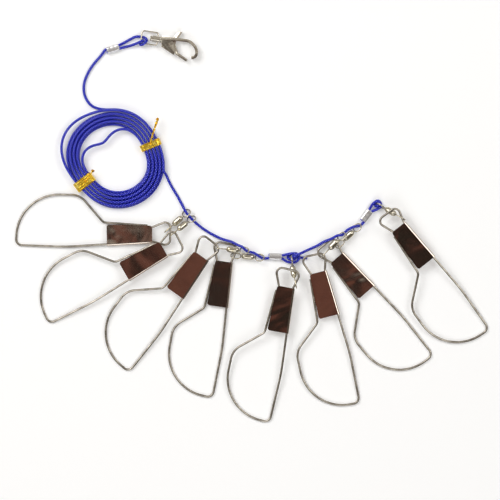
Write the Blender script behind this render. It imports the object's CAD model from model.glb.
import math

import bmesh
import bpy
import numpy as np
from mathutils import Matrix, Vector


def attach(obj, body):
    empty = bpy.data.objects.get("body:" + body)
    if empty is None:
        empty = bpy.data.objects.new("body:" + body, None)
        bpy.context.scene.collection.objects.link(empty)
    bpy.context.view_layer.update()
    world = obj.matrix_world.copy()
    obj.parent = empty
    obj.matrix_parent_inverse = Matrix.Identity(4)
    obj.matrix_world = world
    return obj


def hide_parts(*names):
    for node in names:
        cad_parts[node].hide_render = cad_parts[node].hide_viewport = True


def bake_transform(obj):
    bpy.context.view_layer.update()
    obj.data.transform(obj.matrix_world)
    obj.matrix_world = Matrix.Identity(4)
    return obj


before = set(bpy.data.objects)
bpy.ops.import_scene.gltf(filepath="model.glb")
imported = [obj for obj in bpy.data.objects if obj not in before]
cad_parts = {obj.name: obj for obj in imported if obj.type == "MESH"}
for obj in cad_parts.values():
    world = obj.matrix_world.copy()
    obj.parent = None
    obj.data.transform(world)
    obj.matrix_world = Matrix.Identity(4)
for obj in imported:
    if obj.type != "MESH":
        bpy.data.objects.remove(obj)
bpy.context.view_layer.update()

# ---------------------------------------------------------------- studio
# A white sheet on a table, seen from straight above with a long lens.
# Three soft boxes stand round it, and the ceiling over the lens is dark,
# which is what flat polished sheet shows.
MM = 0.001
# one step of the layout grid, and the place on it of the part's origin
GRID_MM = 0.77
MIDDLE = (251.449, 226.236)
# the picture is this many steps of the grid wide
VIEW_STEPS = 500
CAMERA_HEIGHT = 4.0
MID_HEIGHT = 3 * MM
FLOOR_SIZE = 12
FLOOR_DROP = 0.02 * MM
PAPER_LIFT = 0.17
ROOM_FILL = 0.45
CURTAIN_SIDE = (0.6, -0.8)
# (turn round the object, height angle, distance m, size m, watts)
SOFT_BOXES = [(-50, 48, 1.6, 0.9, 14), (70, 52, 1.7, 0.8, 8), (180, 45, 1.7, 0.9, 7)]


def row(x, y, height=0.0):
    """A place on the layout grid and a height in millimetres, in the row frame."""
    return Vector(((x - MIDDLE[0]) * GRID_MM, (MIDDLE[1] - y) * GRID_MM, height)) * MM


def linear(colour):
    """An sRGB hex colour as the shader wants it."""
    parts = [int(colour[i:i + 2], 16) / 255 for i in (1, 3, 5)]
    return tuple(
        c / 12.92 if c <= 0.04045 else ((c + 0.055) / 1.055) ** 2.4 for c in parts
    ) + (1.0,)


def linked(name, data):
    """A new object in the scene."""
    made = bpy.data.objects.new(name, data)
    bpy.context.scene.collection.objects.link(made)
    return made


def fed(tree, node, inputs):
    """Puts values and links into the sockets of a node."""
    for socket, value in inputs.items():
        if isinstance(value, bpy.types.NodeSocket):
            tree.links.new(value, node.inputs[socket])
        else:
            node.inputs[socket].default_value = value


def add(tree, kind, inputs=None, stops=(), **settings):
    """One node of a tree: its settings, what goes into its sockets, and its colour stops."""
    made = tree.nodes.new(kind)
    for name, value in settings.items():
        setattr(made, name, value)
    fed(tree, made, inputs or {})
    if stops:
        colours = made.color_ramp.elements
        while len(colours) < len(stops):
            colours.new(0.5)
        for element, (at, colour) in zip(colours, stops):
            element.position = at
            element.color = linear(colour)
    return made


def finish_of(name):
    """An empty material, its tree, its shader and the object's own coordinates."""
    made = bpy.data.materials.new(name)
    made.use_nodes = True
    tree = made.node_tree
    shader = tree.nodes["Principled BSDF"]
    return made, tree, shader, add(tree, "ShaderNodeTexCoord").outputs["Object"]


def looked_at(tree):
    """What is 1 for rays from the camera, and what is 1 for mirrored and refracted ones too."""
    ray = add(tree, "ShaderNodeLightPath").outputs
    direct = add(tree, "ShaderNodeMath", {
        0: ray["Is Camera Ray"], 1: ray["Is Glossy Ray"],
    }, operation="MAXIMUM")
    either = add(tree, "ShaderNodeMath", {
        0: direct.outputs[0], 1: ray["Is Transmission Ray"],
    }, operation="MAXIMUM")
    return ray["Is Camera Ray"], either.outputs[0]


eye = bpy.data.cameras.new("camera")
eye.sensor_width = 36
eye.lens = eye.sensor_width / 2 / (VIEW_STEPS * GRID_MM * MM / 2 / CAMERA_HEIGHT)
eye.clip_end = 100
camera = linked("camera", eye)
camera.location = row(VIEW_STEPS / 2, VIEW_STEPS / 2) + Vector((0, 0, CAMERA_HEIGHT + MID_HEIGHT))
bpy.context.scene.camera = camera
bpy.context.scene.view_settings.view_transform = "Standard"

# the paper itself is lifted to white for whatever looks at it, and keeps its shadows
paper, tree, shader, _ = finish_of("matt white paper")
lifted = add(tree, "ShaderNodeMath", {0: looked_at(tree)[1], 1: PAPER_LIFT}, operation="MULTIPLY")
fed(tree, shader, {
    "Base Color": linear("#f7f7f7"), "Roughness": 0.9, "Specular IOR Level": 0.1,
    "Emission Color": linear("#ffffff"), "Emission Strength": lifted.outputs[0],
})
bpy.ops.mesh.primitive_plane_add(size=FLOOR_SIZE, location=(0, 0, -FLOOR_DROP))
floor = bpy.context.object
floor.name = "paper"
floor.data.materials.append(paper)

world = bpy.data.worlds.new("studio")
bpy.context.scene.world = world
world.use_nodes = True
sky = world.node_tree
looking = add(sky, "ShaderNodeSeparateXYZ", {
    "Vector": add(sky, "ShaderNodeTexCoord").outputs["Generated"],
})
off_zenith = add(sky, "ShaderNodeMath", {0: looking.outputs["Z"]}, operation="ARCCOSINE")
share = add(sky, "ShaderNodeMath", {0: off_zenith.outputs[0], 1: math.pi / 2}, operation="DIVIDE")
# a black lens hood overhead, then brown boards, then the walls, as shares of a right angle
room = add(sky, "ShaderNodeValToRGB", {"Fac": share.outputs[0]}, [
    (0.0, "#161413"), (0.034, "#1c1816"), (0.05, "#84584b"), (0.09, "#724b41"),
    (0.102, "#201c19"), (0.14, "#2c2620"), (0.2, "#7c7266"), (0.28, "#e2ded6"),
    (0.55, "#dedad2"), (0.75, "#938d84"), (1.0, "#6a655e"),
]).outputs["Color"]
# a pale card stands on the far side of the hood, so level faces up there mirror it
card = add(sky, "ShaderNodeMapRange", {
    "Value": looking.outputs["Y"], "From Min": 0.028, "From Max": 0.036,
})
room = add(sky, "ShaderNodeMix", {
    "Factor": card.outputs["Result"], "A": room, "B": linear("#c2bcb2"),
}, data_type="RGBA").outputs["Result"]
# a dark curtain hangs on the near right side, which draws the shaded edge of wires and rings
near = add(sky, "ShaderNodeMath", {
    0: looking.outputs["Y"], 1: CURTAIN_SIDE[1],
}, operation="MULTIPLY")
near_right = add(sky, "ShaderNodeMath", {
    0: looking.outputs["X"], 1: CURTAIN_SIDE[0], 2: near.outputs[0],
}, operation="MULTIPLY_ADD")
curtain = add(sky, "ShaderNodeMapRange", {
    "Value": near_right.outputs[0], "From Min": 0.22, "From Max": 0.5,
})
room = add(sky, "ShaderNodeMix", {
    "Factor": curtain.outputs["Result"], "A": room, "B": linear("#3c3731"),
}, data_type="RGBA").outputs["Result"]
# the camera sees white behind the paper's edge, and matt things get less light from the room
by_camera, by_any = looked_at(sky)
room = add(sky, "ShaderNodeMix", {
    "Factor": by_camera, "A": room, "B": linear("#ffffff"),
}, data_type="RGBA").outputs["Result"]
fill = add(sky, "ShaderNodeMapRange", {"Value": by_any, "To Min": ROOM_FILL, "To Max": 1.0})
fed(sky, sky.nodes["Background"], {"Color": room, "Strength": fill.outputs["Result"]})
for index, (turn, up, away, size, power) in enumerate(SOFT_BOXES, 1):
    box_light = bpy.data.lights.new(f"soft box {index}", "AREA")
    box_light.size = size
    box_light.energy = power
    lamp = linked(box_light.name, box_light)
    a, e = math.radians(turn), math.radians(up)
    level = math.cos(e)
    lamp.location = Vector((math.sin(a) * level, math.cos(a) * level, math.sin(e))) * away
    lamp.rotation_euler = (-lamp.location).to_track_quat("-Z", "Y").to_euler()

# ---------------------------------------------------------------- cord
# Hollow braid of royal blue polypropylene, 2.2 mm thick. One length runs from
# the clip through the coil to the middle knot, and a short one goes on from
# there. Three of the ends turn twice round in a loop and come back to a sleeve.
CORD_MM = 2.2
CORD_D = CORD_MM * MM
RING_STEP = 0.45 * MM
ROUTE_SOFTENING = 0.6 * MM
SPLINE_STEPS = 24
CORD_SIDES = 16
# lumps of the braid: length, how many go round, how deep they are, and one thread's width
BRAID_PERIOD = 2.7 * MM
BRAID_ROUND = 4
BRAID_LUMP = 0.035
THREAD = 0.25 * MM
# the coil, in millimetres and degrees: two layers of an oval spiral, inwards then outwards
COIL_MIDDLE = (114.9, 159.5)
COIL_RX, COIL_RY = 33.8, 32.4
COIL_TURNS = 9.3
COIL_CLIMB = 0.3
COIL_PITCH = 2.87
COIL_START = 97
COIL_LOW = 1.95
COIL_RISE = 2.65
COIL_STEPS = 360
# one inner strand strays into the middle and one outer loop stands off, as in the photo
STRAY_MM, STRAY_AT = 11, 0.53
LOOSE_MM, LOOSE_AT = 4.8, 0.951
STRAND_SPAN = 0.07
# the ties pull the strands in and pinch them together
TIE_ANGLES = (218, 23)
TIE_SPAN = 28
TIE_PULL = 4
TIE_PINCH = 0.04

# places that the cords pass over: (grid x, grid y, height in millimetres)
lead_route = [
    (106.9, 52.3, 2.2), (113.8, 50.2, 2.2), (119.9, 48.3, 2.2), (123.4, 47.4, 1.6),
    (126.9, 46.5, 1.5), (131.2, 45.4, 2), (136.1, 43.7, 3.3), (140.7, 41.8, 5.1),
    (141.5, 41.4, 5.2), (142.3, 41, 5), (142.9, 40.7, 4.6), (143.4, 40.5, 4),
    (143.6, 40.4, 3.3), (143.5, 40.5, 2.6), (143.1, 40.4, 2), (142.4, 40.5, 1.5),
    (141.7, 40.8, 1.2), (141, 41.3, 1.2), (140.5, 42, 1.4), (140, 43.6, 2),
    (140.1, 44.3, 2.5), (140.4, 44.8, 3), (140.8, 45, 3.6), (142, 44.9, 4.6),
    (142.7, 44.6, 5), (143.5, 44.1, 5.2), (144.9, 43, 5.1), (146.1, 41.9, 4.5),
    (146.7, 40.7, 3.6), (146.7, 40, 3.2), (146, 38.6, 2.4), (144.6, 37.6, 1.8),
    (142.1, 37, 1.2), (137.6, 36.4, 1.2), (134.9, 36.9, 1.2), (130.8, 38.9, 1.2),
    (124.5, 42.5, 1.2), (121.3, 44.1, 1.6), (119, 45.3, 2.2), (112, 47.4, 2.2),
    (106, 49.3, 2.2), (104.7, 50.3, 1.6), (103.2, 52.6, 1.2), (100.4, 56.2, 1.2),
    (95.6, 61.6, 1.2), (91.2, 67.4, 1.2), (88, 72.9, 1.2), (85.4, 78.8, 1.2),
    (84, 84, 1.2), (83.7, 88.6, 1.2), (84.1, 93.1, 1.2), (85.4, 97.4, 1.2),
    (87.6, 101.4, 1.2), (89.9, 104.2, 1.2), (92.8, 106.4, 1.2), (96.1, 107.9, 1.2),
    (100.5, 109, 1.2), (103.2, 109.3, 1.4),
]
run_a_route = [
    (165.4, 173.6, 2.9), (166.5, 175.8, 1.9), (167.9, 179.1, 1.3), (171.1, 185.6, 1.2),
    (174.8, 191.8, 1.2), (178.5, 198.1, 1.2), (181.9, 204.5, 1.2), (183.1, 206.9, 1.6),
    (184.6, 210, 2.5), (185.5, 211.5, 2.5), (187.1, 213.7, 2.2), (189.5, 216.4, 2.5),
    (190.6, 217.8, 2.2), (193, 220.2, 1.4), (196.3, 223.3, 1.2), (202, 227.9, 1.2),
    (208, 231.9, 1.2), (214.4, 235.5, 1.2), (221, 238.6, 1.2), (224.4, 239.8, 1.4),
    (228.6, 240.9, 2.5), (231.8, 241.9, 3.5), (234.1, 243.1, 4.1), (237.2, 244.8, 4.6),
    (239.6, 245.8, 5.3), (241.2, 246.2, 6), (241.9, 246.6, 6.2), (242.6, 247.2, 6.3),
    (243.2, 247.8, 6.1), (245.5, 250.1, 4.9), (247.7, 251.4, 4.1), (250.3, 252.1, 3.9),
    (252.9, 252.6, 3.8), (257, 254.7, 3.5), (258.9, 256.2, 2.7), (261.8, 257.9, 1.5),
    (263.4, 258.6, 1.2), (265.2, 258.5, 1.3), (268.6, 258.1, 2.2), (275.9, 258.3, 2.2),
    (282.2, 258.5, 2.2), (285.2, 260.6, 2), (287.6, 261.8, 2.3), (289.3, 262.2, 2.8),
    (291, 262.3, 3.2), (293.7, 262.5, 3), (295.4, 262.1, 2.9), (297, 261.2, 2.9),
    (298.2, 259.9, 3.1), (299, 258.3, 3.5), (299.2, 257.4, 3.5), (299.3, 256.6, 3.4),
    (298.9, 255.1, 2.6), (297.9, 254.1, 1.8), (296.3, 253.5, 1.3), (293.6, 253.3, 1.2),
    (291, 254.1, 1.2), (288.7, 255.5, 1.2), (288.1, 256.2, 1.3), (287.8, 257, 1.6),
    (287.8, 257.7, 2), (288.1, 258.4, 2.4), (288.7, 258.9, 2.8), (289.5, 259.1, 3),
    (290.4, 259.2, 3.1), (293.1, 259.4, 2.7), (293.9, 259.3, 2.8), (294.8, 258.9, 3),
    (295.4, 258.4, 3.2), (295.9, 257.7, 3.4), (296.2, 256.8, 3.5), (296.1, 255.9, 3.4),
    (295.8, 255, 3.5), (295.3, 254.3, 3.5), (294.6, 253.8, 3.6), (293.7, 253.4, 3.6),
    (291.9, 253.5, 3.6), (288.3, 254.1, 3.4), (283.2, 255.2, 2.3), (281.4, 255.3, 2.2),
    (274.1, 255.1, 2.2), (268.7, 254.9, 2.2),
]
run_b_route = [
    (307, 258, 1.3), (300.6, 257.7, 1.2), (298.8, 257.6, 1.1), (295.3, 256.6, 1.2),
    (294.5, 256.5, 1.4), (293.8, 256.4, 1.8), (293.3, 256.3, 2.4), (293, 256.4, 3.1),
    (293.1, 256.5, 3.8), (293.3, 256.5, 4.4), (293.8, 256.4, 5), (294.5, 256.2, 5.5),
    (295.3, 256, 5.7), (296.1, 255.7, 5.8), (298.5, 254.5, 5.3), (304.6, 251.5, 3.3),
    (309.4, 249.3, 2.3), (314.4, 247.1, 2), (318.5, 245, 2.3), (322.2, 242.8, 3.1),
    (325.3, 241.1, 4), (329.5, 239.5, 4.7), (332.8, 238.1, 4.9), (335, 236.8, 5.5),
    (336.4, 235.8, 6), (337.2, 235.6, 6.2), (338.1, 235.4, 6.2), (339.8, 235.3, 5.7),
    (342, 235.1, 4.4), (343.2, 234.2, 3.6), (345, 232.3, 3.1), (347.7, 229.8, 3),
    (350, 228.5, 3), (353.3, 226.9, 3.2), (355, 226.6, 2.8), (359.1, 226, 1.4),
    (360, 225.7, 1.2), (361.4, 224.7, 1.3), (364.3, 221.4, 2.2), (368.7, 215.6, 2.2),
    (371.4, 211.9, 2.2), (372.1, 211.3, 2.1), (375.4, 210, 1.8), (377.9, 208.8, 2),
    (380.1, 207.4, 2.5), (380.6, 206.7, 2.6), (381, 205.9, 2.4), (381.1, 204.3, 1.8),
    (380.5, 202.7, 1.4), (379.4, 201.3, 1.2), (377.7, 200.6, 1.2), (376.8, 200.7, 1.2),
    (376, 201.1, 1.2), (375.4, 201.7, 1.2), (375, 202.5, 1.2), (374.9, 204.3, 1.4),
    (375, 205.1, 1.8), (375.2, 205.7, 2.2), (375.7, 206.2, 2.7), (377.2, 206.3, 3.5),
    (377.9, 205.9, 3.8), (378.6, 205.3, 3.9), (379.1, 204.6, 3.8), (379.3, 203.7, 3.7),
    (379.2, 202.8, 3.6), (378.7, 202, 3.5), (378, 201.4, 3.5), (377.1, 201.2, 3.6),
    (376.2, 201.3, 3.6), (374.7, 202.2, 3.6), (372.7, 204.1, 3.2), (370.4, 207.8, 2.3),
    (368.3, 210.8, 2.2), (363.9, 216.6, 2.2), (361.2, 220.2, 2.2),
]


def bump(x, width):
    """A smooth hump of height 1 at 0."""
    return math.exp(-x * x / (2 * width * width))


def coil_point(t):
    """A place on the coil after t turns, pinched at the two ties."""
    spiral = (COIL_TURNS - COIL_CLIMB) / 2
    a = COIL_START - 360 * t
    inward = min(t, COIL_TURNS - t, spiral) * COIL_PITCH
    near_tie = sum(bump(abs((a - b + 180) % 360 - 180), TIE_SPAN) for b in TIE_ANGLES)
    off = (
        (COIL_PITCH * spiral / 2 - inward) * (1 - TIE_PINCH * near_tie)
        - STRAY_MM * bump(t - STRAY_AT * COIL_TURNS, STRAND_SPAN)
        + LOOSE_MM * bump(t - LOOSE_AT * COIL_TURNS, STRAND_SPAN)
        - TIE_PULL * near_tie
    )
    climb = min(max((t - spiral) / COIL_CLIMB, 0), 1)
    height = COIL_LOW + COIL_RISE * (1 - math.cos(math.pi * climb)) / 2
    a = math.radians(a)
    return row(*COIL_MIDDLE) + Vector((
        (COIL_RX + off) * math.cos(a), (COIL_RY + off) * math.sin(a), height,
    )) * MM


def steps_of(line):
    """How long each step of a line is."""
    return np.linalg.norm(np.diff(line, axis=0), axis=1)


def run_of(line):
    """How far along a line each of its points lies."""
    return np.concatenate([[0], np.cumsum(steps_of(line))])


def even(line, step):
    """The same line with evenly spaced points."""
    along = run_of(line)
    count = max(2, int(round(along[-1] / step)) + 1)
    places = np.linspace(0, along[-1], count)
    return np.stack([np.interp(places, along, line[:, k]) for k in range(3)], axis=1)


def smooth_line(points, step, soften):
    """Evenly spaced points on a soft curve through the given ones."""
    p = np.array([list(q) for q in points])
    p = np.vstack([2 * p[0] - p[1], p, 2 * p[-1] - p[-2]])
    out = []
    for i in range(1, len(p) - 2):
        a, b, c, d = p[i - 1:i + 3]
        ta, tb, tc = (max(np.linalg.norm(v), 1e-9) ** 0.5 for v in (b - a, c - b, d - c))
        m1 = (c - b) / tb - (c - a) / (ta + tb) + (b - a) / ta
        m2 = (d - c) / tc - (d - b) / (tb + tc) + (c - b) / tb
        m1, m2 = m1 * tb, m2 * tb
        for t in np.linspace(0, 1, SPLINE_STEPS, endpoint=False):
            out.append(
                (2 * t**3 - 3 * t**2 + 1) * b + (t**3 - 2 * t**2 + t) * m1
                + (-2 * t**3 + 3 * t**2) * c + (t**3 - t**2) * m2
            )
    out.append(p[-2])
    line = even(np.array(out), step)
    reach = int(round(3 * soften / step))
    weights = np.exp(-(np.arange(-reach, reach + 1) * step) ** 2 / (2 * soften * soften))
    weights /= weights.sum()
    head = 2 * line[0] - line[reach:0:-1]
    tail = 2 * line[-1] - line[-2:-reach - 2:-1]
    padded = np.vstack([head, line, tail])
    line = np.stack([np.convolve(padded[:, k], weights, "valid") for k in range(3)], axis=1)
    return even(line, step)


def carried_frames(line):
    """Tangent and two sides at each point, carried along without twist."""
    tangents = np.gradient(line, axis=0)
    tangents /= np.linalg.norm(tangents, axis=1)[:, None]
    sides = []
    side = np.array([0.0, 0.0, 1.0]) if abs(tangents[0][2]) < 0.9 else np.array([1.0, 0.0, 0.0])
    for t in tangents:
        side = side - side.dot(t) * t
        side /= np.linalg.norm(side)
        sides.append(side)
    sides = np.array(sides)
    return tangents, sides, np.cross(tangents, sides)


def new_piece(name, verts, faces, material, uv=None):
    """A smooth mesh object at the origin with one material, and maybe a UV for each corner."""
    mesh = bpy.data.meshes.new(name)
    mesh.from_pydata([tuple(map(float, v)) for v in verts], [], faces)
    if uv is not None:
        layer = mesh.uv_layers.new(name="along")
        layer.data.foreach_set("uv", np.array(uv, np.float32).ravel())
    mesh.materials.append(material)
    mesh.validate()
    mesh.shade_smooth()
    return linked(name, mesh)


def braided(name, line, material):
    """A tube along the line, with the lumps of the braid in its surface."""
    ahead, u, v = carried_frames(line)
    n = len(line)
    turn = 2 * np.pi * np.arange(CORD_SIDES) / CORD_SIDES
    along = np.arange(n) * RING_STEP
    lump = np.cos(BRAID_ROUND * turn)[None, :] * np.cos(2 * np.pi * along / BRAID_PERIOD)[:, None]
    radius = CORD_D / 2 * (1 - BRAID_LUMP + BRAID_LUMP * lump)
    spokes = (
        np.cos(turn)[None, :, None] * u[:, None, :] + np.sin(turn)[None, :, None] * v[:, None, :]
    )
    verts = (line[:, None, :] + radius[:, :, None] * spokes).reshape(-1, 3)
    faces, uv = [], []
    for i in range(n - 1):
        a, b = i * CORD_SIDES, (i + 1) * CORD_SIDES
        low, high = along[i] / BRAID_PERIOD, along[i + 1] / BRAID_PERIOD
        for k in range(CORD_SIDES):
            j = (k + 1) % CORD_SIDES
            faces.append((a + k, a + j, b + j, b + k))
            left, right = k / CORD_SIDES, (k + 1) / CORD_SIDES
            uv += [(left, low), (right, low), (right, high), (left, high)]
    # the cut ends are melted into a dome, a fifth of the cord's thickness high
    for ring, tip, flip in (
        (0, line[0] - ahead[0] * CORD_D / 5, True),
        (n - 1, line[-1] + ahead[-1] * CORD_D / 5, False),
    ):
        top = len(verts)
        verts = np.vstack([verts, tip])
        for k in range(CORD_SIDES):
            a, b = ring * CORD_SIDES + k, ring * CORD_SIDES + (k + 1) % CORD_SIDES
            faces.append((b, a, top) if flip else (a, b, top))
            uv += [(0, 0), (0, 0), (0, 0)]
    return new_piece(name, verts, faces, material, uv)


# Shiny thread, so each lump catches a small pale light and the gaps between go almost navy.
braid, tree, shader, place = finish_of("royal blue braided polypropylene")
strand = add(tree, "ShaderNodeSeparateXYZ", {
    "Vector": add(tree, "ShaderNodeUVMap", uv_map="along").outputs["UV"],
})
waves = []
for axis, per_round in (("X", 2 * math.pi * BRAID_ROUND), ("Y", 2 * math.pi)):
    phase = add(tree, "ShaderNodeMath", {
        0: strand.outputs[axis], 1: per_round,
    }, operation="MULTIPLY")
    waves.append(add(tree, "ShaderNodeMath", {0: phase.outputs[0]}, operation="COSINE").outputs[0])
lump = add(tree, "ShaderNodeMath", {0: waves[0], 1: waves[1]}, operation="MULTIPLY")
height = add(tree, "ShaderNodeMapRange", {
    "Value": lump.outputs[0], "From Min": -1.0, "From Max": 1.0, "To Max": 0.8,
})
threads = add(tree, "ShaderNodeTexNoise", {
    "Vector": place, "Scale": 1 / THREAD, "Detail": 2.0, "Roughness": 0.6,
})
mixed = add(tree, "ShaderNodeMath", {
    0: threads.outputs["Fac"], 1: 0.35, 2: height.outputs["Result"],
}, operation="MULTIPLY_ADD").outputs[0]
blues = add(tree, "ShaderNodeValToRGB", {"Fac": mixed}, [
    (0.15, "#04075c"), (0.45, "#0a129c"), (0.75, "#1a28d0"), (0.87, "#4c58f0"), (0.96, "#b4b8ff"),
])
raised = add(tree, "ShaderNodeBump", {"Height": mixed, "Strength": 0.9, "Distance": 0.2 * MM})
fed(tree, shader, {
    "Base Color": blues.outputs["Color"], "Normal": raised.outputs["Normal"],
    "Roughness": 0.32, "Specular IOR Level": 0.28,
})

coil = [coil_point(COIL_TURNS * k / COIL_STEPS) for k in range(COIL_STEPS + 1)]
lead = [row(*p) for p in lead_route]
run_a = [row(*p) for p in run_a_route]
run_b = [row(*p) for p in run_b_route]
past_first = coil[0] + (coil[0] - coil[1]).normalized() * CORD_D
past_last = coil[-1] + (coil[-1] - coil[-2]).normalized() * CORD_D
long_line = smooth_line(
    lead + [past_first] + coil + [past_last] + run_a, RING_STEP, ROUTE_SOFTENING,
)
short_line = smooth_line(run_b, RING_STEP, ROUTE_SOFTENING)
long_cord = braided("long_cord", long_line, braid)
short_cord = braided("short_cord", short_line, braid)
for piece, line, solids, lay in (
    (long_cord, long_line, ["cord_lead", "cord_coil", "cord_run_a"], "coiled"),
    (short_cord, short_line, ["cord_run_b"], "loose"),
):
    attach(piece, "line")
    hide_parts(*solids)

# ---------------------------------------------------------------- crimp sleeves
# Three short oval tubes of soft aluminium, squeezed over the two strands
# beside each loop. The jaws of the pliers leave two shallow waists.
SLEEVE_L = 9.5 * MM
SLEEVE_W = 5.56 * MM
SLEEVE_H = 3.11 * MM
SLEEVE_WALL = 0.35 * MM
SLEEVE_LEVEL = 2.2
SLEEVE_STEPS = 28
SLEEVE_SIDES = 40
# (place on the grid, turn)
SLEEVE_PLACES = [((113, 48.8), 17), ((275.5, 256.7), -2), ((366.6, 215.7), 53)]
# the jaws press at two shares of the length, and the cut ends are drawn in a little
JAW_MARKS = (0.33, 0.67)
JAW_SPAN = 0.07
CRIMP_DEPTH = 0.06
LIP_DEPTH = 0.03


def oval_ring(w, h, sides):
    """Points of a rounded oval: two half circles and two flats."""
    out = []
    for k in range(sides):
        a = 2 * math.pi * (k + 0.5) / sides
        side = 1 if math.cos(a) > 0 else -1
        out.append((side * (w - h) / 2 + h / 2 * math.cos(a), h / 2 * math.sin(a)))
    return out


def faced_out(mesh):
    """Turns all faces of a closed mesh outwards."""
    work = bmesh.new()
    work.from_mesh(mesh)
    bmesh.ops.recalc_face_normals(work, faces=work.faces)
    work.to_mesh(mesh)
    work.free()


def worn(tree, pattern, smoothest, roughest, strength, depth):
    """Roughness and a fine bump, both from one pattern, for the sockets of a shader."""
    rough = add(tree, "ShaderNodeMapRange", {
        "Value": pattern, "To Min": smoothest, "To Max": roughest,
    })
    fine = add(tree, "ShaderNodeBump", {"Height": pattern, "Strength": strength, "Distance": depth})
    return {"Roughness": rough.outputs["Result"], "Normal": fine.outputs["Normal"]}


aluminium, tree, shader, place = finish_of("drawn bright aluminium")
# marks of the drawing die blur what it mirrors, drawn coarser than real so that they show
marks = add(tree, "ShaderNodeTexNoise", {"Vector": place, "Scale": 1 / (0.4 * MM), "Detail": 3.0})
fed(tree, shader, {
    "Base Color": linear("#dcdcde"), "Metallic": 1.0,
    **worn(tree, marks.outputs["Fac"], 0.18, 0.42, 0.3, 0.05 * MM),
})
verts, faces = [], []
for place_on_grid, turn in SLEEVE_PLACES:
    to_row = (
        Matrix.Translation(row(*place_on_grid, SLEEVE_LEVEL))
        @ Matrix.Rotation(math.radians(turn), 4, "Z")
    )
    first = len(verts)
    for wall, pressed in ((0.0, 1), (SLEEVE_WALL, 0)):
        for i in range(SLEEVE_STEPS + 1):
            share = i / SLEEVE_STEPS
            jaws = sum(bump(share - mark, JAW_SPAN) for mark in JAW_MARKS)
            waist = 1 - CRIMP_DEPTH * jaws * pressed
            lip = 1 - LIP_DEPTH * (share in (0.0, 1.0)) * pressed
            for y, z in oval_ring(SLEEVE_W - 2 * wall, SLEEVE_H - 2 * wall, SLEEVE_SIDES):
                verts.append(to_row @ Vector(((share - 0.5) * SLEEVE_L, y * lip, z * waist * lip)))
    shell = (SLEEVE_STEPS + 1) * SLEEVE_SIDES
    for i in range(SLEEVE_STEPS):
        for k in range(SLEEVE_SIDES):
            j = (k + 1) % SLEEVE_SIDES
            a, b = first + i * SLEEVE_SIDES, first + (i + 1) * SLEEVE_SIDES
            faces.append((a + k, a + j, b + j, b + k)[::-1])
            a, b = a + shell, b + shell
            faces.append((a + k, a + j, b + j, b + k))
    for i, flip in ((0, False), (SLEEVE_STEPS, True)):
        for k in range(SLEEVE_SIDES):
            j = (k + 1) % SLEEVE_SIDES
            a, b = first + i * SLEEVE_SIDES, first + shell + i * SLEEVE_SIDES
            face = (a + k, a + j, b + j, b + k)
            faces.append(face[::-1] if flip else face)
sleeves = new_piece("sleeve_tubes", verts, faces, aluminium)
faced_out(sleeves.data)
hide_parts("crimp_sleeves")
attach(sleeves, "line")

# ---------------------------------------------------------------- swivels
# Eight barrel swivels in nickelled brass. A ring on the cord and a long link
# round the snap both turn in the barrel on headed shanks, and the plating
# has gone a little yellow where it has rubbed.
nickel, tree, shader, place = finish_of("tumbled nickel plate on brass")
# rubbed patches are about 2 mm across, and tumbling scratches 0.2 mm, half a noise cell
patches = add(tree, "ShaderNodeTexNoise", {"Vector": place, "Scale": 1 / (4 * MM), "Detail": 4.0})
rubbed = add(tree, "ShaderNodeValToRGB", {"Fac": patches.outputs["Fac"]}, [
    (0.3, "#b4aea0"), (0.55, "#c6c0b0"), (0.75, "#aca078"),
])
scratches = add(tree, "ShaderNodeTexNoise", {
    "Vector": place, "Scale": 1 / (0.5 * MM), "Detail": 3.0,
})
fed(tree, shader, {
    "Base Color": rubbed.outputs["Color"], "Metallic": 1.0,
    **worn(tree, scratches.outputs["Fac"], 0.14, 0.36, 0.25, 0.04 * MM),
})


def finished(node, material):
    """A solid that stays as it is gets its material."""
    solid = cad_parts[node]
    solid.data.materials.clear()
    solid.data.materials.append(material)


STATIONS = range(1, 9)
for station in STATIONS:
    for kind in ("cord_eye", "barrel", "link_eye"):
        finished(f"{kind}_{station}", nickel)

# ---------------------------------------------------------------- snap wires
# Each snap is stainless spring wire, bent cold: a head, and a bow whose end
# hooks under the clasp plate. They meet in the plate's roll. A point past the
# far corner springs open with the latch arm, so the bow bends between bodies.
WIRE_D = 1.8 * MM
WIRE_SIDES = 20
SNAP_L, SNAP_W = 119, 40
# corners as shares of length and width, and the radius at each in millimetres
FIXED = [
    (-0.067, 0.065), (0.120, 0.275), (0.114, -0.232), (0, -0.134),
    (-0.563, -0.213), (-0.884, -0.165),
]
FREE = [(-0.861, 0.815), (-0.466, 0.783), (-0.315, 0.245), (-0.0294, 0.175)]
HEAD_BENDS = [0, 4, 4, 8]
FREE_BENDS = [33, 14, 5, 0]
BOW_BEND = 150
CORNER_BEND = 4.5
# a bend has a point for each millimetre, or for each 6 degrees where that is more
BEND_STEP, BEND_TURN = 1.0, 6
# the two wires meet at a share of the roll's length
ROLL_L = 35
SEAM_SHARE = 0.45
# how far past the corner the bow begins and ends to follow the arm
BLEND_FROM, BLEND_TO = 1.4, 9
# (place on the grid, turn, lift of the head)
SNAP_PLACES = [
    ((152.2, 234.5), 0.8, 1.2), ((163.8, 249.4), 29.4, 3.5),
    ((201.5, 256.2), 54.3, 2.8), ((224.2, 261.5), 81.4, 0.75),
    ((286, 287.1), 79.4, 4.4), ((318.1, 272.4), 104.1, 2.8),
    ((336.9, 257.8), 131.1, 0.75), ((398.4, 227.3), 128.1, 4.4),
]


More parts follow.
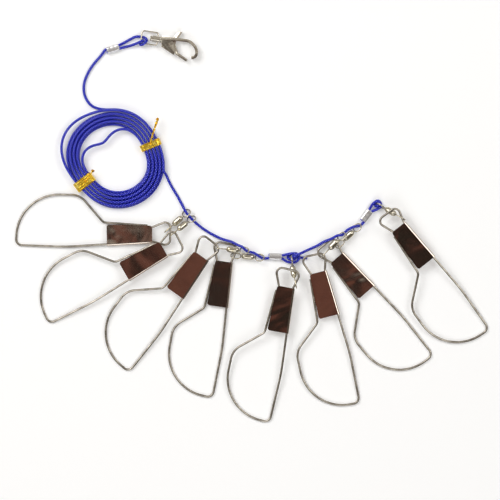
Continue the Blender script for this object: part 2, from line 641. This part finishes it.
def bent(corners, bends):
    """A flat path through its corners, rounded to the bend radius at each."""
    p = [np.array(c, float) for c in corners]
    out = [p[0]]
    for i in range(1, len(p) - 1):
        u = (p[i] - p[i - 1]) / np.linalg.norm(p[i] - p[i - 1])
        v = (p[i + 1] - p[i]) / np.linalg.norm(p[i + 1] - p[i])
        turn = math.atan2(u[0] * v[1] - u[1] * v[0], u @ v)
        cut = bends[i] * math.tan(abs(turn) / 2)
        start = p[i] - u * cut
        centre = start + np.array([-u[1], u[0]]) * math.copysign(bends[i], turn)
        arm = start - centre
        count = max(
            2, int(math.ceil(abs(turn) * bends[i] / BEND_STEP)),
            int(abs(math.degrees(turn)) / BEND_TURN),
        )
        for k in range(count + 1):
            a = turn * k / count
            out.append(centre + np.array([
                arm[0] * math.cos(a) - arm[1] * math.sin(a),
                arm[0] * math.sin(a) + arm[1] * math.cos(a),
            ]))
    out.append(p[-1])
    return out


def wire_tree(name, material, sides):
    """Geometry Nodes that sweep a round wire along an edge path and close its ends."""
    tree = bpy.data.node_groups.new(name, "GeometryNodeTree")
    tree.interface.new_socket("Path", in_out="INPUT", socket_type="NodeSocketGeometry")
    size = tree.interface.new_socket("Wire diameter", in_out="INPUT", socket_type="NodeSocketFloat")
    tree.interface.new_socket("Wire", in_out="OUTPUT", socket_type="NodeSocketGeometry")
    given = add(tree, "NodeGroupInput")
    half = add(tree, "ShaderNodeMath", {
        0: given.outputs["Wire diameter"], 1: 0.5,
    }, operation="MULTIPLY")
    section = add(tree, "GeometryNodeCurvePrimitiveCircle", {
        "Resolution": sides, "Radius": half.outputs[0],
    })
    path = add(tree, "GeometryNodeMeshToCurve", {"Mesh": given.outputs["Path"]})
    swept = add(tree, "GeometryNodeCurveToMesh", {
        "Curve": path.outputs["Curve"], "Profile Curve": section.outputs["Curve"],
        "Fill Caps": True,
    })
    real = add(tree, "GeometryNodeRealizeInstances", {"Geometry": swept.outputs["Mesh"]})
    painted = add(tree, "GeometryNodeSetMaterial", {
        "Geometry": real.outputs["Geometry"], "Material": material,
    })
    add(tree, "NodeGroupOutput", {"Wire": painted.outputs["Geometry"]})
    return tree, size.identifier


def settled(made):
    """The mesh that an object's modifiers make. The object goes."""
    bpy.context.view_layer.update()
    seen = made.evaluated_get(bpy.context.evaluated_depsgraph_get())
    mesh = bpy.data.meshes.new_from_object(seen)
    bpy.data.objects.remove(made)
    return mesh


def grown(mesh, group, values):
    """What a Geometry Nodes tree makes of a mesh."""
    seed = linked(mesh.name, mesh)
    modifier = seed.modifiers.new("grow", "NODES")
    modifier.node_group = group
    for identifier, value in values.items():
        modifier[identifier] = value
    return settled(seed)


# Drawn wire is pale and satin, with a fine grain and darker handling marks.
spring, tree, shader, place = finish_of("drawn stainless spring wire")
handled = add(tree, "ShaderNodeTexNoise", {"Vector": place, "Scale": 1 / (6 * MM), "Detail": 5.0})
greys = add(tree, "ShaderNodeValToRGB", {"Fac": handled.outputs["Fac"]}, [
    (0.3, "#7c756c"), (0.5, "#a09a90"), (0.7, "#bab4aa"),
])
grain = add(tree, "ShaderNodeTexNoise", {"Vector": place, "Scale": 1 / (0.3 * MM), "Detail": 2.0})
fed(tree, shader, {
    "Base Color": greys.outputs["Color"], "Metallic": 1.0,
    **worn(tree, grain.outputs["Fac"], 0.2, 0.34, 0.2, 0.03 * MM),
})
fixed = [(x * SNAP_L, y * SNAP_W) for x, y in FIXED]
free = [(x * SNAP_L, y * SNAP_W) for x, y in FREE]
roll_start, roll_end = np.array(fixed[3]), np.array(fixed[4])
roll_way = (roll_end - roll_start) / np.linalg.norm(roll_end - roll_start)
seam = tuple(roll_start + roll_way * ROLL_L * SEAM_SHARE)
head_path = bent(fixed[:4] + [seam], HEAD_BENDS + [0])
arm_path = bent([seam] + fixed[4:] + free, [0, BOW_BEND, CORNER_BEND] + FREE_BENDS)
corner = fixed[-1]
wire_group, wire_size = wire_tree("wire sweep", spring, WIRE_SIDES)
for station, (place_on_grid, turn, lift) in enumerate(SNAP_PLACES, 1):
    lift = math.radians(lift)
    # the far corner rests on the table
    height = WIRE_D / MM / 2 - corner[0] * math.sin(lift)
    to_row = (
        Matrix.Translation(row(*place_on_grid, height))
        @ Matrix.Rotation(math.radians(turn), 4, "Z") @ Matrix.Rotation(-lift, 4, "Y")
    )
    for name, path, node in (
        ("head_wire", head_path, "snap_wire"), ("bow_wire", arm_path, "latch_arm"),
    ):
        placed = [tuple(to_row @ (Vector((x, y, 0)) * MM)) for x, y in path]
        mesh = bpy.data.meshes.new(name)
        mesh.from_pydata(placed, [(i, i + 1) for i in range(len(placed) - 1)], [])
        swept = grown(mesh, wire_group, {wire_size: WIRE_D})
        swept.shade_smooth()
        faced_out(swept)
        piece = linked(f"{name}_{station}", swept)
        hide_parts(f"{node}_{station}")
        if name == "head_wire":
            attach(piece, f"snap_{station}")
        else:
            start, end = (
                to_row @ (Vector((corner[0], corner[1] + past, 0)) * MM)
                for past in (BLEND_FROM, BLEND_TO)
            )
            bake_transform(piece)

# ---------------------------------------------------------------- clasp plates
# Half-millimetre stainless sheet, polished, folded over the straight side of
# the wire. It is left plain here. Polished sheet is never quite flat, so what
# it mirrors is drawn out in soft, wandering streaks.
polished, tree, shader, place = finish_of("mirror polished stainless sheet")
hairlines = add(tree, "ShaderNodeTexNoise", {
    "Vector": place, "Scale": 1 / (0.35 * MM), "Detail": 3.0,
})
surface = worn(tree, hairlines.outputs["Fac"], 0.05, 0.16, 0.12, 0.03 * MM)
ripple = add(tree, "ShaderNodeTexNoise", {
    "Vector": place, "Scale": 1 / (26 * MM), "Detail": 1.5, "Distortion": 0.6,
})
wavy = add(tree, "ShaderNodeBump", {
    "Height": ripple.outputs["Fac"], "Strength": 1.0, "Distance": 0.45 * MM,
    "Normal": surface["Normal"],
})
fed(tree, shader, {
    "Base Color": linear("#c9bdb2"), "Metallic": 1.0,
    "Roughness": surface["Roughness"], "Normal": wavy.outputs["Normal"],
})
for station in STATIONS:
    finished(f"clasp_plate_{station}", polished)

# ---------------------------------------------------------------- twist ties
# Two strips of gold foil laminated on a thin wire. Each is wound a few turns
# round the coil and its two ends are twisted together on top.
foil, tree, shader, place = finish_of("gold foil laminate")
# the foil creases every 1.5 mm or so as it is wound
crease = add(tree, "ShaderNodeTexVoronoi", {
    "Vector": place, "Scale": 1 / (1.5 * MM),
}, feature="DISTANCE_TO_EDGE")
tone = add(tree, "ShaderNodeTexNoise", {"Vector": place, "Scale": 1 / (2.5 * MM), "Detail": 3.0})
golds = add(tree, "ShaderNodeValToRGB", {"Fac": tone.outputs["Fac"]}, [
    (0.3, "#c9971c"), (0.5, "#f0c83a"), (0.7, "#ffe676"),
])
creased = add(tree, "ShaderNodeBump", {
    "Height": crease.outputs["Distance"], "Strength": 0.6, "Distance": 0.25 * MM,
})
fed(tree, shader, {
    "Base Color": golds.outputs["Color"], "Metallic": 0.9, "Roughness": 0.24,
    "Normal": creased.outputs["Normal"],
})
# the strip's thickness and width, the play round the coil, and how the turns lie
TIE_T = 0.3 * MM
STRIP_MM = 2.6
TIE_PLAY = 0.7
TIE_TURNS = 4
TIE_SKEW = 0.028
TIE_SEED = 5
TURN_SIDES = 48
# the tail: its strips, how its line is drawn, and the shares that stay twisted and open
TAIL_W = 2.2 * MM
TAIL_PITCH = 5.5 * MM
TAIL_STEP = 0.35 * MM
TAIL_SOFTENING = 0.5 * MM
TAIL_TWISTED, TAIL_OPENING = 0.72, 0.28
# (angle on the coil, how far the turns are spread along it, places the tail goes over)
TIES = [
    (TIE_ANGLES[0], 7.6, [(89.5, 176.5, 6.6), (91.5, 173, 7.6), (93.5, 170, 7.0)]),
    (TIE_ANGLES[1], 5.2, [
        (150.5, 142, 6.8), (152.4, 136, 8.2), (154.6, 129, 8.6), (156.6, 122.5, 7.4),
        (157.6, 118.4, 6.0),
    ]),
]


def strip_tree(name, material):
    """Geometry Nodes that repeat one turn of foil along a tie, each turn a little askew."""
    tree = bpy.data.node_groups.new(name, "GeometryNodeTree")
    tree.interface.new_socket("Turn", in_out="INPUT", socket_type="NodeSocketGeometry")
    ids = {}
    for label, kind in (
        ("Turns", "NodeSocketInt"), ("Spread", "NodeSocketFloat"),
        ("Skew", "NodeSocketFloat"), ("Seed", "NodeSocketInt"),
    ):
        ids[label] = tree.interface.new_socket(label, in_out="INPUT", socket_type=kind).identifier
    tree.interface.new_socket("Tie", in_out="OUTPUT", socket_type="NodeSocketGeometry")
    given = add(tree, "NodeGroupInput")
    ends = []
    for part in (-0.5, 0.5):
        end = add(tree, "ShaderNodeMath", {
            0: given.outputs["Spread"], 1: part,
        }, operation="MULTIPLY")
        ends.append(add(tree, "ShaderNodeCombineXYZ", {"Z": end.outputs[0]}).outputs["Vector"])
    line = add(tree, "GeometryNodeMeshLine", {
        "Count": given.outputs["Turns"], "Start Location": ends[0], "Offset": ends[1],
    }, mode="END_POINTS")
    least = add(tree, "ShaderNodeMath", {0: given.outputs["Skew"], 1: -1.0}, operation="MULTIPLY")
    least, most = (
        add(tree, "ShaderNodeCombineXYZ", {"X": limit, "Y": limit}).outputs["Vector"]
        for limit in (least.outputs[0], given.outputs["Skew"])
    )
    askew = add(tree, "FunctionNodeRandomValue", {
        "Min": least, "Max": most, "Seed": given.outputs["Seed"],
    }, data_type="FLOAT_VECTOR")
    turns = add(tree, "GeometryNodeInstanceOnPoints", {
        "Points": line.outputs["Mesh"], "Instance": given.outputs["Turn"],
        "Rotation": askew.outputs["Value"],
    })
    real = add(tree, "GeometryNodeRealizeInstances", {"Geometry": turns.outputs["Instances"]})
    painted = add(tree, "GeometryNodeSetMaterial", {
        "Geometry": real.outputs["Geometry"], "Material": material,
    })
    add(tree, "NodeGroupOutput", {"Tie": painted.outputs["Geometry"]})
    return tree, ids


def foil_turn(w, h, width, thick):
    """One closed turn of strip round an oval, creased across."""
    verts, faces = [], []
    # the strip's section: across it in widths, and out from the coil in thicknesses
    section = [
        (-0.5, 0.0), (-0.17, 0.12), (0.17, 0.03), (0.5, 0.1),
        (0.5, 1.0), (0.17, 0.9), (-0.17, 1.1), (-0.5, 1.0),
    ]
    n = len(section)
    for k in range(TURN_SIDES):
        a = 2 * math.pi * k / TURN_SIDES
        side = 1 if math.cos(a) > 0 else -1
        # two waves that don't keep step make the creases uneven
        crumple = 0.5 * thick * math.sin(7 * a) * math.sin(3.1 * a + 1)
        for across, out in section:
            r = h / 2 + out * thick + abs(crumple) * (0.4 + 0.6 * abs(across))
            verts.append((side * (w - h) / 2 + r * math.cos(a), r * math.sin(a), across * width))
    for k in range(TURN_SIDES):
        j = (k + 1) % TURN_SIDES
        for i in range(n):
            i2 = (i + 1) % n
            faces.append((k * n + i, k * n + i2, j * n + i2, j * n + i))
    return verts, faces


def twisted_tail(line, width, thick, pitch):
    """Two flat strips twisted round each other, opening to a flat end."""
    _, u, v = carried_frames(line)
    along = run_of(line)
    share = along / along[-1]
    verts, faces = [], []
    for phase in (0.0, math.pi):
        first = len(verts)
        for i, p in enumerate(line):
            # the twist slackens and the strips spread as they open
            opening = max(0.0, (share[i] - TAIL_TWISTED) / TAIL_OPENING)
            a = 2 * math.pi * along[i] / pitch * (1 - 0.5 * opening) + phase
            across = math.cos(a) * u[i] + math.sin(a) * v[i]
            out = -math.sin(a) * u[i] + math.cos(a) * v[i]
            half = width / 2 * (0.75 + 0.5 * opening)
            centre = p + out * thick * 0.6
            for x, y in ((-1, -0.5), (-1, 0.5), (1, 0.5), (1, -0.5)):
                verts.append(centre + across * half * x + out * thick * y)
        for i in range(len(line) - 1):
            for k in range(4):
                j = (k + 1) % 4
                a, b = first + 4 * i, first + 4 * (i + 1)
                faces.append((a + k, a + j, b + j, b + k))
        last = first + 4 * (len(line) - 1)
        faces += [(first + 3, first + 2, first + 1, first), (last, last + 1, last + 2, last + 3)]
    return verts, faces


strip_group, strip_inputs = strip_tree("foil turns", foil)
tie_parts = []
spiral_half = COIL_PITCH * (COIL_TURNS - COIL_CLIMB) / 4
inner_w = (2 * spiral_half + CORD_MM + TIE_PLAY) * MM
inner_h = (COIL_RISE + CORD_MM + TIE_PLAY) * MM
for index, (angle, spread, tail) in enumerate(TIES):
    a = math.radians(angle)
    centre = row(*COIL_MIDDLE) + Vector((
        (COIL_RX - TIE_PULL) * math.cos(a), (COIL_RY - TIE_PULL) * math.sin(a),
        COIL_LOW + COIL_RISE / 2,
    )) * MM
    to_row = (
        Matrix.Translation(centre)
        @ Matrix.Rotation(a, 4, "Z") @ Matrix.Rotation(math.pi / 2, 4, "X")
    )
    verts, faces = foil_turn(inner_w, inner_h, STRIP_MM * MM, TIE_T)
    mesh = bpy.data.meshes.new("foil turn")
    mesh.from_pydata(verts, [], faces)
    values = {
        "Turns": TIE_TURNS, "Spread": (spread - STRIP_MM) * MM,
        "Skew": TIE_SKEW, "Seed": TIE_SEED + index,
    }
    turns = grown(mesh, strip_group, {strip_inputs[label]: values[label] for label in values})
    turns.transform(to_row)
    start = to_row @ Vector((0, inner_h / 2 + TIE_T, 0))
    line = smooth_line([start] + [row(*q) for q in tail], TAIL_STEP, TAIL_SOFTENING)
    verts, faces = twisted_tail(line, TAIL_W, TIE_T, TAIL_PITCH)
    twist = bpy.data.meshes.new("tail")
    twist.from_pydata([tuple(v) for v in verts], [], faces)
    twist.materials.append(foil)
    tie_parts += [turns, twist]
ties = bmesh.new()
for mesh in tie_parts:
    ties.from_mesh(mesh)
bmesh.ops.recalc_face_normals(ties, faces=ties.faces)
mesh = bpy.data.meshes.new("foil_ties")
ties.to_mesh(mesh)
ties.free()
mesh.materials.append(foil)
# one material for all faces, whatever number they came with
for face in mesh.polygons:
    face.material_index = 0
wound = linked("foil_ties", mesh)
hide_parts("twist_ties")
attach(wound, "line")

# ---------------------------------------------------------------- trigger snap
# Zinc casting with a bright nickel plate. The hook turns on a headed post in
# the strap's hub, and the thumb lever works in a slot through its cheeks, on
# a peened steel rivet, against a small coil spring. Cast edges are rounded.
plating, tree, shader, place = finish_of("bright nickel plate on zinc casting")
# the skin of the casting shows through the plate as soft dimples, which break up its lights
peel = add(tree, "ShaderNodeTexNoise", {"Vector": place, "Scale": 1 / (1.2 * MM), "Detail": 3.0})
fed(tree, shader, {
    "Base Color": linear("#c2bcb0"), "Metallic": 1.0,
    **worn(tree, peel.outputs["Fac"], 0.12, 0.34, 0.35, 0.08 * MM),
})
MERGE = 0.004 * MM
# degrees: facets of one flat face, edges that are rounded, and edges that shade as sharp
FLAT_ANGLE, EDGE_ANGLE, SHARP_ANGLE = 1.5, 40, 35
EDGE_STEPS = 3


def rounded_copy(node, name, radius, material):
    """A merged copy of a solid with its sharp edges rounded, which stands for it."""
    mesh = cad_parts[node].data.copy()
    work = bmesh.new()
    work.from_mesh(mesh)
    bmesh.ops.remove_doubles(work, verts=work.verts, dist=MERGE)
    bmesh.ops.dissolve_limit(
        work, angle_limit=math.radians(FLAT_ANGLE), verts=work.verts, edges=work.edges,
    )
    work.to_mesh(mesh)
    work.free()
    cast = linked(name, mesh)
    bevel = cast.modifiers.new("cast edge", "BEVEL")
    bevel.width = radius
    bevel.segments = EDGE_STEPS
    bevel.limit_method = "ANGLE"
    bevel.angle_limit = math.radians(EDGE_ANGLE)
    rounded = settled(cast)
    rounded.materials.clear()
    rounded.materials.append(material)
    rounded.shade_smooth()
    rounded.set_sharp_from_angle(angle=math.radians(SHARP_ANGLE))
    return linked(name, rounded)


for node, name, radius, body in (
    ("hook_body", "cast_hook", 0.45 * MM, "hook"), ("gate_lever", "thumb_lever", 0.3 * MM, "gate"),
):
    piece = rounded_copy(node, name, radius, plating)
    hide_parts(node)
    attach(piece, body)
finished("clip_eye", plating)
finished("gate_rivet", spring)
finished("gate_spring", spring)
